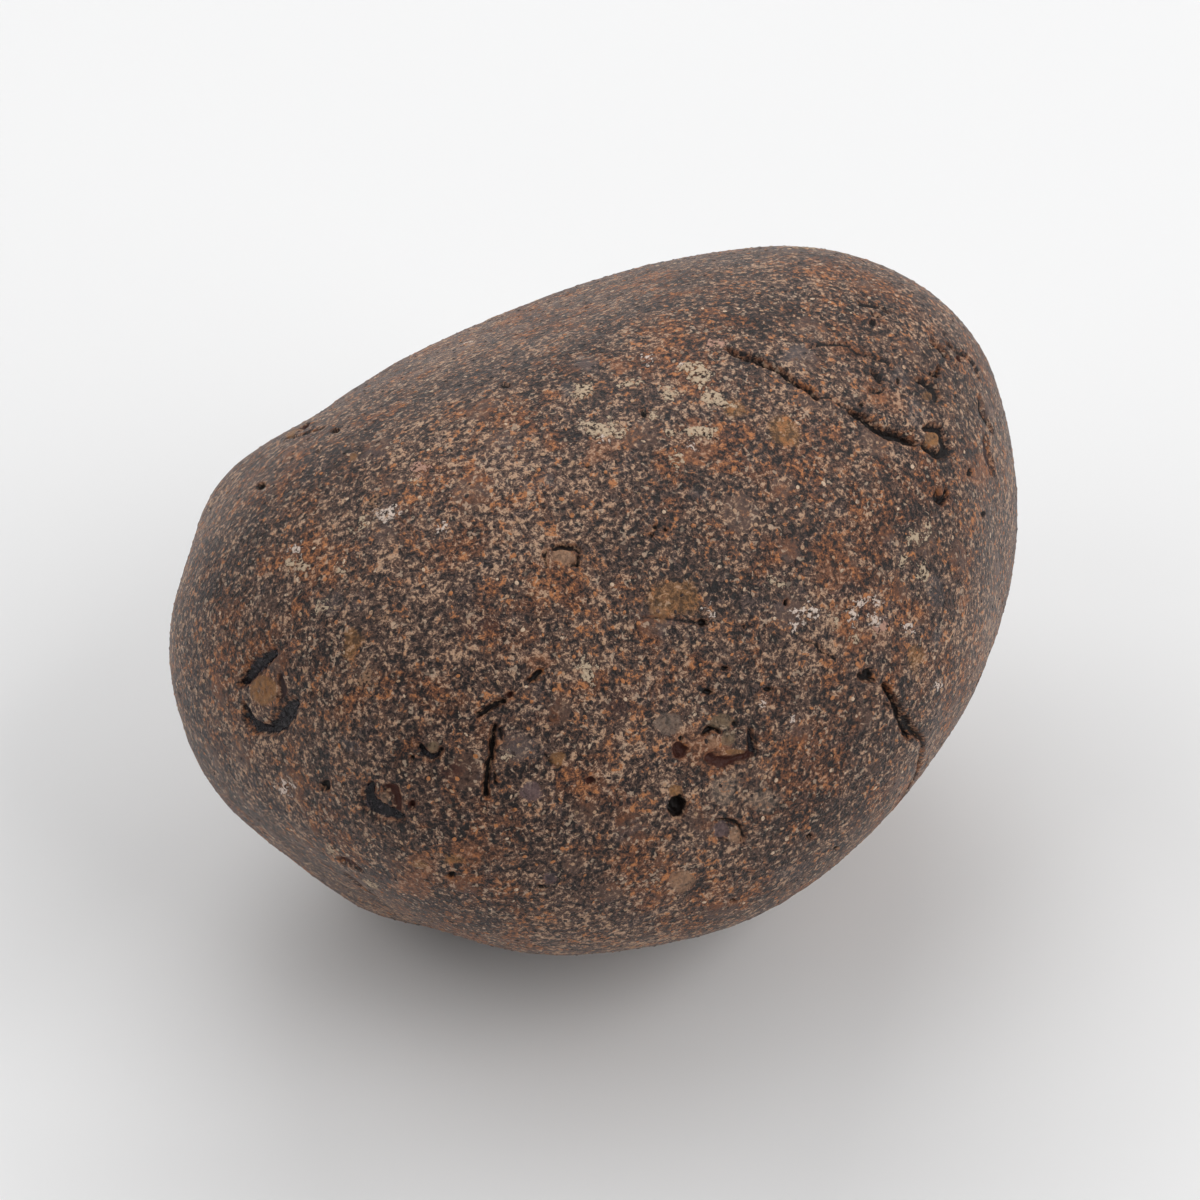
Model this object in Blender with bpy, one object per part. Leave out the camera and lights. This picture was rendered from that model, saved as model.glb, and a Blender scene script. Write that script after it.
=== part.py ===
"""Stony meteorite: one egg-shaped, wind-worn stone with pits and cracks, resting on a small flat spot.

The stone lies along X with its narrow end at -X. Places on it are given as (longitude, latitude) in
degrees seen from its heart: longitude 0 faces +X, the blunt end, and latitude 90 faces straight up.
"""

import math
from collections import namedtuple

import bmesh
import bpy
from mathutils import Matrix, Vector, noise
from mathutils.bvhtree import BVHTree

MM = 0.001

# The egg that the stone was worn from, in millimetres from its heart
HALF_LENGTH = 20.2
HALF_WIDTH = 15.0
HALF_HEIGHT = 14.4
SWELL = 0.07  # share by which the blunt end is fatter, and the narrow end thinner
HEART_HEIGHT = 12.7  # the heart stands this far above the flat spot it rests on

# Low, irregular waves of the worn skin
WAVE_LENGTH = 5.5
WAVE_HEIGHT = 0.12

# Flats worn on the egg: where each one faces, its distance from the heart, how softly its rim turns
Flat = namedtuple("Flat", "faces distance softness")
FLATS = (
    Flat(faces=(90, 58), distance=12.7, softness=1.3),  # long slope at the back
    Flat(faces=(-45, 7), distance=16.5, softness=1.5),  # blunt end
    Flat(faces=(-61, -34), distance=13.5, softness=1.4),  # front, under the blunt end
    Flat(faces=(-112, -60), distance=12.1, softness=1.3),  # underside, front
    Flat(faces=(65, -56), distance=13.6, softness=1.3),  # underside, back
    Flat(faces=(-164, -35), distance=14.7, softness=1.4),  # underside of the narrow end
    Flat(faces=(158, -13), distance=18.6, softness=1.2),  # narrow end, back
    Flat(faces=(-176, 10), distance=18.2, softness=1.5),  # tip of the narrow end
)

# Lumps, and dips where the height is negative: place, angle over which it fades, height
Lump = namedtuple("Lump", "at spread height")
LUMPS = (
    Lump(at=(130, 14), spread=10, height=0.8),  # knob at the narrow end
    Lump(at=(118, 27), spread=8, height=-0.15),  # dip behind the knob
    Lump(at=(152, -12), spread=9, height=-0.1),
    Lump(at=(-178, -33), spread=11, height=0.45),  # jowl under the narrow end
    Lump(at=(-158, -46), spread=8, height=-0.45),
    Lump(at=(-130, -49), spread=8, height=0.4),  # belly at the front of the underside
    Lump(at=(-5, 34), spread=16, height=0.4),  # far shoulder
    Lump(at=(-28, 12), spread=12, height=0.3),
    Lump(at=(-60, 40), spread=22, height=0.25),
    Lump(at=(-118, 30), spread=20, height=-0.2),
    Lump(at=(-160, 25), spread=18, height=0.2),
    Lump(at=(-66, 1), spread=8, height=-0.18),  # chipped back beside the long crack
    Lump(at=(20, -10), spread=22, height=0.35),
    Lump(at=(60, -20), spread=18, height=0.2),
    Lump(at=(85, 5), spread=20, height=0.15),
    Lump(at=(100, -30), spread=18, height=0.2),
)

# Pits: place, length and width in millimetres, turn of the length from due east, depth, and the size of
# the grain left standing in the middle as a share of the pit, 0 for an empty one
Pit = namedtuple("Pit", "at length width turn depth grain")
PITS = (
    Pit(at=(-179, 17.5), length=3.2, width=2.3, turn=115, depth=0.45, grain=0.45),  # the largest
    Pit(at=(-157.3, 13.2), length=1.6, width=1.3, turn=60, depth=0.4, grain=0.35),
    Pit(at=(-166, 11.1), length=0.7, width=0.6, turn=0, depth=0.3, grain=0),
    Pit(at=(-152.5, 21.4), length=1.1, width=0.8, turn=40, depth=0.35, grain=0),
    Pit(at=(-109.1, 20.7), length=2.3, width=2.0, turn=0, depth=0.3, grain=0.5),  # round grain, half loose
    Pit(at=(-117.8, 12.6), length=1.3, width=0.9, turn=80, depth=0.6, grain=0),
    Pit(at=(-118.6, 25.5), length=0.7, width=0.5, turn=70, depth=0.25, grain=0),
    Pit(at=(-110.3, 6.6), length=1.5, width=1.4, turn=0, depth=0.25, grain=0.5),
    Pit(at=(-138.1, 49.4), length=1.5, width=1.2, turn=10, depth=0.25, grain=0.4),
    Pit(at=(150.7, 32.4), length=0.8, width=0.6, turn=20, depth=0.35, grain=0),
    Pit(at=(127.5, 31.5), length=1.3, width=0.7, turn=30, depth=0.3, grain=0),
    Pit(at=(142.1, 42.8), length=0.8, width=0.5, turn=40, depth=0.3, grain=0),
    Pit(at=(161.4, 72.2), length=1.0, width=0.6, turn=70, depth=0.3, grain=0),
    Pit(at=(-164.5, -5.6), length=1.5, width=0.9, turn=130, depth=0.35, grain=0),
    Pit(at=(-135.9, 4.0), length=1.1, width=0.9, turn=0, depth=0.3, grain=0),
    Pit(at=(-42.9, 38.6), length=1.6, width=1.3, turn=30, depth=0.35, grain=0.4),
    Pit(at=(-32.9, 41.2), length=1.2, width=0.7, turn=60, depth=0.35, grain=0),
    Pit(at=(-20.1, 37.8), length=1.0, width=0.6, turn=50, depth=0.35, grain=0),
    Pit(at=(-15.0, 47.7), length=1.2, width=0.7, turn=40, depth=0.35, grain=0),
    Pit(at=(-51.7, 34.5), length=1.0, width=0.6, turn=80, depth=0.3, grain=0),
    # on the sides turned away
    Pit(at=(28, 22), length=2.0, width=1.6, turn=20, depth=0.35, grain=0.45),
    Pit(at=(64, -4), length=1.3, width=0.9, turn=110, depth=0.4, grain=0),
    Pit(at=(102, 22), length=1.6, width=1.4, turn=0, depth=0.3, grain=0.5),
    Pit(at=(137, -18), length=1.2, width=0.9, turn=45, depth=0.4, grain=0),
    Pit(at=(8, -28), length=1.5, width=1.0, turn=150, depth=0.4, grain=0),
    Pit(at=(-40, -42), length=1.3, width=0.9, turn=70, depth=0.35, grain=0),
)
BOWL_LIFT = 0.35  # share of a bowl's own height by which its middle stands above the skin
BOWL_DIVISIONS = 2
MOAT_STEPS = 14
MOAT_CORNERS = 6

# Cracks: the places that each one runs through, its width at the mouth and its depth
Crack = namedtuple("Crack", "path width depth")
CRACKS = (
    # over the top of the blunt end, broken in two
    Crack(
        path=((-39.0, 71.8), (-43.4, 67.4), (-46.2, 63.3), (-49.8, 60.6), (-50.0, 58.4), (-49.7, 54.3)),
        width=0.3,
        depth=0.45,
    ),
    Crack(path=((-50.2, 51.8), (-49.8, 49.7), (-50.3, 47.1), (-47.9, 44.9), (-47.1, 41.8)), width=0.3, depth=0.45),
    # down the front of the blunt end
    Crack(path=((-92.0, 31.4), (-89.6, 28.9), (-87.7, 27.1)), width=0.22, depth=0.25),
    Crack(
        path=(
            (-84.1, 22.6),
            (-80.6, 20.0),
            (-79.9, 17.3),
            (-78.6, 13.5),
            (-76.1, 8.4),
            (-73.5, 4.5),
            (-71.8, -0.6),
            (-71.5, -6.0),
            (-73.0, -12.0),
        ),
        width=0.3,
        depth=0.45,
    ),
    # two short ones on the dark front of the narrow end
    Crack(path=((-144.8, 25.5), (-144.4, 22.8), (-144.6, 19.5), (-144.0, 16.2)), width=0.28, depth=0.4),
    Crack(path=((-147.0, 26.4), (-145.4, 27.7), (-143.7, 29.0), (-140.8, 31.7)), width=0.22, depth=0.3),
    # behind the knob, between two pits
    Crack(path=((130.0, 33.5), (135.0, 37.0), (140.5, 41.5)), width=0.22, depth=0.2),
    # on the sides turned away
    Crack(path=((35, 2), (42, 6), (47, 4), (55, 9), (61, 8), (68, 13)), width=0.28, depth=0.4),
    Crack(path=((118, -2), (121, 5), (119, 11), (123, 17)), width=0.26, depth=0.35),
)
CRACK_STEPS = 2  # steps between two of a crack's places
CRACK_THIN_END = 0.25  # openness of a crack at its very ends

# Unevenness of the pits' and cracks' rims
RIM_WANDER = 0.09
RIM_WANDER_LENGTH = 0.45

CUBE_CUTS = 20  # cuts across each face of the cube that the egg is blown up from
SHARP_ANGLE = math.radians(40)

STONE_COLOUR = (0.136, 0.089, 0.069, 1.0)
STONE_ROUGHNESS = 0.5


def clear_scene():
    for old in list(bpy.data.objects):
        bpy.data.objects.remove(old, do_unlink=True)


def toward(place):
    """Unit direction from the heart to a (longitude, latitude) in degrees."""
    longitude, latitude = map(math.radians, place)
    level = math.cos(latitude)
    return Vector((level * math.cos(longitude), level * math.sin(longitude), math.sin(latitude)))


def fade(direction, place, spread):
    """1 at a place, falling smoothly to nothing over about twice the spread in degrees."""
    return math.exp((direction.dot(toward(place)) - 1) / (1 - math.cos(math.radians(spread))))


def worn_point(direction):
    """Point of the worn skin, in millimetres from the heart, that a unit direction of the egg leads to."""
    girth = 1 + SWELL * direction.x
    point = Vector(
        (HALF_LENGTH * direction.x, HALF_WIDTH * girth * direction.y, HALF_HEIGHT * girth * direction.z)
    )
    for flat in FLATS:
        facing = toward(flat.faces)
        beyond = (point.dot(facing) - flat.distance) / flat.softness
        point -= facing * (flat.softness * math.log1p(math.exp(beyond)))
    outward = point.normalized()
    height = sum(lump.height * fade(outward, lump.at, lump.spread) for lump in LUMPS)
    height += WAVE_HEIGHT * noise.noise(point / WAVE_LENGTH)
    return point + outward * height


def blown_cube():
    """A cube with evenly cut faces, blown up into the worn egg."""
    stone = bmesh.new()
    bmesh.ops.create_cube(stone, size=2)
    bmesh.ops.subdivide_edges(stone, edges=stone.edges[:], cuts=CUBE_CUTS, use_grid_fill=True)
    for vert in stone.verts:
        evened = Vector(math.tan(side * math.pi / 4) for side in vert.co)
        vert.co = worn_point(evened.normalized())
    bmesh.ops.triangulate(stone, faces=stone.faces)
    return stone


def cut_rest_spot(stone):
    """Cuts the underside level, which leaves the small flat spot that the stone rests on."""
    bmesh.ops.bisect_plane(
        stone,
        geom=stone.verts[:] + stone.edges[:] + stone.faces[:],
        dist=1e-4,
        plane_co=(0, 0, -HEART_HEIGHT),
        plane_no=(0, 0, -1),
        clear_outer=True,
    )
    rim = [edge for edge in stone.edges if edge.is_boundary]
    bmesh.ops.contextual_create(stone, geom=rim)
    bmesh.ops.recalc_face_normals(stone, faces=stone.faces)


def on_skin(skin, place):
    """Point of the skin at a place, and the direction straight out of it."""
    outward = toward(place)
    point, normal, _, _ = skin.ray_cast(outward * 2 * HALF_LENGTH, -outward)
    return point, normal


def wandered(point):
    """Moves a point of a cutter a little, so that no rim is a true circle or a straight line."""
    return point + RIM_WANDER * noise.noise_vector(point / RIM_WANDER_LENGTH)


def new_cutter(name, cutter):
    """Makes a hidden cutter object of a bmesh."""
    bmesh.ops.recalc_face_normals(cutter, faces=cutter.faces)
    mesh = bpy.data.meshes.new(name)
    cutter.to_mesh(mesh)
    cutter.free()
    obj = bpy.data.objects.new(name, mesh)
    obj.hide_render = True
    obj.display_type = "WIRE"
    return obj


def pit_place(skin, pit):
    """Matrix from a pit's own length, width and height to its place on the skin."""
    centre, normal = on_skin(skin, pit.at)
    east = Vector((0, 0, 1)).cross(normal).normalized()
    north = normal.cross(east)
    turn = math.radians(pit.turn)
    along = east * math.cos(turn) + north * math.sin(turn)
    axes = Matrix((along, normal.cross(along), normal)).transposed()
    return Matrix.Translation(centre) @ axes.to_4x4()


def bowl_cutter(skin, pit):
    """A rough egg sunk into the skin, for an empty pit."""
    place = pit_place(skin, pit)
    height = pit.depth / (1 - BOWL_LIFT)
    belly = 1 / math.sqrt(1 - BOWL_LIFT**2)  # the egg is this much wider than its cut in the skin
    cutter = bmesh.new()
    bmesh.ops.create_icosphere(cutter, subdivisions=BOWL_DIVISIONS, radius=1)
    for vert in cutter.verts:
        along, across, up = vert.co
        own = Vector((along * belly * pit.length / 2, across * belly * pit.width / 2, (up + BOWL_LIFT) * height))
        vert.co = wandered(place @ own)
    return new_cutter("pit cutter", cutter)


def moat_cutter(skin, pit):
    """A rough ring sunk into the skin, which leaves a grain standing in the pit."""
    place = pit_place(skin, pit)
    middle = (1 + pit.grain) / 2
    thickness = (1 - pit.grain) / 2
    cutter = bmesh.new()
    rings = []
    for step in range(MOAT_STEPS):
        around = math.tau * step / MOAT_STEPS
        ring = []
        for corner in range(MOAT_CORNERS):
            angle = math.tau * corner / MOAT_CORNERS
            reach = middle + thickness * math.cos(angle)
            own = Vector(
                (
                    pit.length / 2 * reach * math.cos(around),
                    pit.width / 2 * reach * math.sin(around),
                    pit.depth * math.sin(angle),
                )
            )
            ring.append(cutter.verts.new(wandered(place @ own)))
        rings.append(ring)
    for ring, following in zip(rings, rings[1:] + rings[:1]):
        for corner in range(MOAT_CORNERS):
            after = (corner + 1) % MOAT_CORNERS
            cutter.faces.new((ring[corner], ring[after], following[after], following[corner]))
    bmesh.ops.triangulate(cutter, faces=cutter.faces)
    return new_cutter("moat cutter", cutter)


def crack_stations(skin, crack):
    """Points all along the crack, each with the normal there and its share of the way."""
    last = len(crack.path) - 1
    stations = []
    for index in range(last * CRACK_STEPS + 1):
        whole, part = divmod(index, CRACK_STEPS)
        start = Vector(crack.path[whole])
        end = Vector(crack.path[min(whole + 1, last)])
        point, normal = on_skin(skin, start.lerp(end, part / CRACK_STEPS))
        stations.append((wandered(point), normal, index / (last * CRACK_STEPS)))
    return stations


def crack_cutter(skin, crack):
    """A wedge that runs along the crack, pointing into the stone and thinning out at both ends."""
    cutter = bmesh.new()
    stations = crack_stations(skin, crack)
    sections = []
    for index, (point, normal, share) in enumerate(stations):
        before = stations[max(index - 1, 0)][0]
        after = stations[min(index + 1, len(stations) - 1)][0]
        side = (after - before).cross(normal).normalized()
        open_share = min(1.0, CRACK_THIN_END + 5 * share, CRACK_THIN_END + 5 * (1 - share))
        depth = crack.depth * open_share
        # as far above the skin as below it, the wedge is twice as wide as at its mouth
        brim = side * crack.width * open_share
        lift = normal * depth
        corners = (point + lift - brim, point + lift + brim, point - lift)
        sections.append([cutter.verts.new(corner) for corner in corners])
    for section, following in zip(sections, sections[1:]):
        for corner in range(3):
            after = (corner + 1) % 3
            cutter.faces.new((section[corner], section[after], following[after], following[corner]))
    cutter.faces.new(sections[0])
    cutter.faces.new(reversed(sections[-1]))
    bmesh.ops.triangulate(cutter, faces=cutter.faces)
    return new_cutter("crack cutter", cutter)


def carved(meteorite, cutters):
    """The stone's mesh with every pit and crack cut out of it."""
    collection = bpy.data.collections.new("cutters")
    bpy.context.scene.collection.children.link(collection)
    for cutter in cutters:
        collection.objects.link(cutter)
    carving = meteorite.modifiers.new("pits and cracks", "BOOLEAN")
    carving.operation = "DIFFERENCE"
    carving.solver = "EXACT"
    carving.operand_type = "COLLECTION"
    carving.collection = collection
    graph = bpy.context.evaluated_depsgraph_get()
    mesh = bpy.data.meshes.new_from_object(meteorite.evaluated_get(graph))
    meteorite.modifiers.clear()
    for cutter in cutters:
        bpy.data.objects.remove(cutter, do_unlink=True)
    bpy.data.collections.remove(collection)
    return mesh


def centre_on_base(mesh):
    """Puts the origin at the bottom centre of the stone's box, and turns millimetres to metres."""
    xs = [vert.co.x for vert in mesh.vertices]
    ys = [vert.co.y for vert in mesh.vertices]
    middle = Vector(((min(xs) + max(xs)) / 2, (min(ys) + max(ys)) / 2, -HEART_HEIGHT))
    mesh.transform(Matrix.Scale(MM, 4) @ Matrix.Translation(-middle))


def stone_material():
    material = bpy.data.materials.new("brown stone")
    material.use_nodes = True
    shader = material.node_tree.nodes["Principled BSDF"]
    shader.inputs["Base Color"].default_value = STONE_COLOUR
    shader.inputs["Roughness"].default_value = STONE_ROUGHNESS
    shader.inputs["Metallic"].default_value = 0.0
    return material


def build_meteorite():
    stone = blown_cube()
    skin = BVHTree.FromBMesh(stone)
    cut_rest_spot(stone)
    uncarved = bpy.data.meshes.new("uncarved stone")
    stone.to_mesh(uncarved)
    stone.free()
    meteorite = bpy.data.objects.new("meteorite", uncarved)
    bpy.context.scene.collection.objects.link(meteorite)
    cutters = [moat_cutter(skin, pit) if pit.grain else bowl_cutter(skin, pit) for pit in PITS]
    cutters += [crack_cutter(skin, crack) for crack in CRACKS]
    mesh = carved(meteorite, cutters)
    centre_on_base(mesh)
    mesh.shade_smooth()
    mesh.set_sharp_from_angle(angle=SHARP_ANGLE)
    mesh.materials.clear()
    mesh.materials.append(stone_material())
    meteorite.data = mesh


clear_scene()
build_meteorite()
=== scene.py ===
import math

import bmesh
import bpy
import numpy as np
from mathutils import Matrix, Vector, noise
from mathutils.bvhtree import BVHTree
from mathutils.kdtree import KDTree


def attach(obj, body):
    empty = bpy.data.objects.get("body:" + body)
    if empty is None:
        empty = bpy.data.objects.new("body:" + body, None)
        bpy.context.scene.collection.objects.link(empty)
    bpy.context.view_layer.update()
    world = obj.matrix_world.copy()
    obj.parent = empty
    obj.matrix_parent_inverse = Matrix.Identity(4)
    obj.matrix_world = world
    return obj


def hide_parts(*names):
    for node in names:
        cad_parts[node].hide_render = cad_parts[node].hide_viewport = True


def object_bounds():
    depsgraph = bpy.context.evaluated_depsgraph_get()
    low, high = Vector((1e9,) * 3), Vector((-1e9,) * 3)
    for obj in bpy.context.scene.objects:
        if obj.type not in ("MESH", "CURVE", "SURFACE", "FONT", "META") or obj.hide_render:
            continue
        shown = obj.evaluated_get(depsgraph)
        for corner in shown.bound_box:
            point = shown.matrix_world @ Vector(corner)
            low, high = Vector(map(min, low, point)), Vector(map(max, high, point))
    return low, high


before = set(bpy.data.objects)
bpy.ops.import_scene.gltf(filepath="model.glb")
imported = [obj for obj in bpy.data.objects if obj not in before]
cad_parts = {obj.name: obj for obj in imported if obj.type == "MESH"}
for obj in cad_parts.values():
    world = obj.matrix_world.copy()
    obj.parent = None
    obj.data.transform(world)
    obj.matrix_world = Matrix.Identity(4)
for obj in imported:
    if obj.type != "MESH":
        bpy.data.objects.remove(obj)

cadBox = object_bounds()
mm = 0.001
print("frame loaded")


# maths on sockets, for shader and geometry trees alike
class Wire:
    def __init__(self, tree, socket=None):
        self.tree = tree
        self.socket = socket

    def add(self, kind, settings, sockets, output=0):
        node = self.tree.nodes.new(kind)
        for name, value in settings.items():
            setattr(node, name, value)
        for key, value in sockets.items():
            if isinstance(key, str):
                key = next(i for i, s in enumerate(node.inputs) if s.name == key and s.enabled)
            if isinstance(value, Wire):
                self.tree.links.new(value.socket, node.inputs[key])
            else:
                node.inputs[key].default_value = value
        if isinstance(output, str):
            output = next(i for i, s in enumerate(node.outputs) if s.name == output and s.enabled)
        return Wire(self.tree, node.outputs[output])

    def math(self, operation, *values):
        return self.add("ShaderNodeMath", {"operation": operation}, dict(enumerate(values)))

    def __add__(self, other):
        return self.math("ADD", self, other)

    def __sub__(self, other):
        return self.math("SUBTRACT", self, other)

    def __rsub__(self, other):
        return self.math("SUBTRACT", other, self)

    def __mul__(self, other):
        return self.math("MULTIPLY", self, other)

    def __truediv__(self, other):
        return self.math("DIVIDE", self, other)

    def __abs__(self):
        return self.math("ABSOLUTE", self)

    __radd__ = __add__
    __rmul__ = __mul__

    def least(self, other):
        return self.math("MINIMUM", self, other)

    def most(self, other):
        return self.math("MAXIMUM", self, other)

    def step(self, low, high):  # 0 below low, 1 above high, smooth between them
        return self.add("ShaderNodeMapRange", {"interpolation_type": "SMOOTHSTEP"},
                        {"Value": self, "From Min": low, "From Max": high})

    def blend(self, other, share, kind="MIX"):  # this colour turning into the other
        return self.add("ShaderNodeMix", {"data_type": "RGBA", "blend_type": kind, "clamp_factor": True},
                        {"Factor": share, "A": self, "B": other}, "Result")

    def times(self, factor):  # a vector times a number
        return self.add("ShaderNodeVectorMath", {"operation": "SCALE"}, {"Vector": self, "Scale": factor})

    def moved(self, x, y, z):
        return self.add("ShaderNodeVectorMath", {"operation": "ADD"}, {0: self, 1: (x, y, z)})

    def clouds(self, scale, detail=2.0, roughness=0.5, distortion=0.0, output=0):
        return self.add("ShaderNodeTexNoise", {}, {"Vector": self, "Scale": scale, "Detail": detail,
                        "Roughness": roughness, "Distortion": distortion}, output)


# the worn form, as in the solid: an egg with soft flats, lumps and dips, in mm from its heart
form = {
    "halfLength": 20.2,
    "halfWidth": 15.0,
    "halfHeight": 14.4,
    "swell": 0.07,  # how much fatter the blunt end is
    "heartHeight": 12.7,
    "waveLength": 5.5,
    "waveHeight": 0.12,
    # faces (longitude, latitude), distance, softness of the rim
    "flats": (
        (90, 58, 12.7, 1.3),
        (-45, 7, 16.5, 1.5),
        (-61, -34, 13.5, 1.4),
        (-112, -60, 12.1, 1.3),
        (65, -56, 13.6, 1.3),
        (-164, -35, 14.7, 1.4),
        (158, -13, 18.6, 1.2),
        (-176, 10, 18.2, 1.5),
    ),
    # longitude, latitude, spread in degrees, height
    "lumps": (
        (130, 14, 10, 0.8),
        (118, 27, 8, -0.15),
        (152, -12, 9, -0.1),
        (-178, -33, 11, 0.45),
        (-158, -46, 8, -0.45),
        (-130, -49, 8, 0.4),
        (-5, 34, 16, 0.4),
        (-28, 12, 12, 0.3),
        (-60, 40, 22, 0.25),
        (-118, 30, 20, -0.2),
        (-160, 25, 18, 0.2),
        (-66, 1, 8, -0.18),
        (20, -10, 22, 0.35),
        (60, -20, 18, 0.2),
        (85, 5, 20, 0.15),
        (100, -30, 18, 0.2),
    ),
}


def toward(longitude, latitude):
    lon, lat = math.radians(longitude), math.radians(latitude)
    return np.array((math.cos(lat) * math.cos(lon), math.cos(lat) * math.sin(lon), math.sin(lat)))


def noiseAt(points, length, shift=0.0):
    return np.array([noise.noise(Vector(p)) for p in points / length + shift])


def wornPoints(directions):
    girth = 1 + form["swell"] * directions[:, 0]
    points = directions * (form["halfLength"], form["halfWidth"], form["halfHeight"])
    points[:, 1:] *= girth[:, None]
    for longitude, latitude, distance, softness in form["flats"]:
        facing = toward(longitude, latitude)
        beyond = (points @ facing - distance) / softness
        points -= np.outer(softness * np.log1p(np.exp(beyond)), facing)
    outward = points / np.linalg.norm(points, axis=1)[:, None]
    height = form["waveHeight"] * noiseAt(points, form["waveLength"])
    for longitude, latitude, spread, lump in form["lumps"]:
        nearness = (outward @ toward(longitude, latitude) - 1) / (1 - math.cos(math.radians(spread)))
        height += lump * np.exp(nearness)
    return points + outward * height[:, None]


def blownUp(corners):  # points of the cube to points of the worn egg
    evened = np.tan(np.asarray(corners, float) * math.pi / 4)
    return wornPoints(evened / np.linalg.norm(evened, axis=1)[:, None])


# what is in the skin: cracks, pits, grains, pale crusts
lightShare = (1.06, 1.25, 1.32)  # how brightly the stone's seen sides are lit, for each colour


def seen(*colour):  # the stone's own colour where the photo shows this one
    linear = (((c / 255 + 0.055) / 1.055) ** 2.4 for c in colour)
    return tuple(value / share for value, share in zip(linear, lightShare))


tints = {
    "dark": seen(22, 15, 12),
    "crack": seen(20, 12, 10),
    "glass": seen(19, 17, 24),
    "shade": seen(64, 50, 50),
    "red": seen(72, 38, 28),
    "rust": seen(146, 98, 64),
    "ochre": seen(150, 112, 62),
    "olive": seen(124, 112, 86),
    "tan": seen(160, 132, 104),
    "grey": seen(126, 116, 104),
    "lilac": seen(104, 92, 98),
    "slate": seen(88, 86, 88),
    "cream": seen(206, 196, 170),
    "white": seen(232, 228, 218),
    "pink": seen(196, 164, 146),
}

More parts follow.
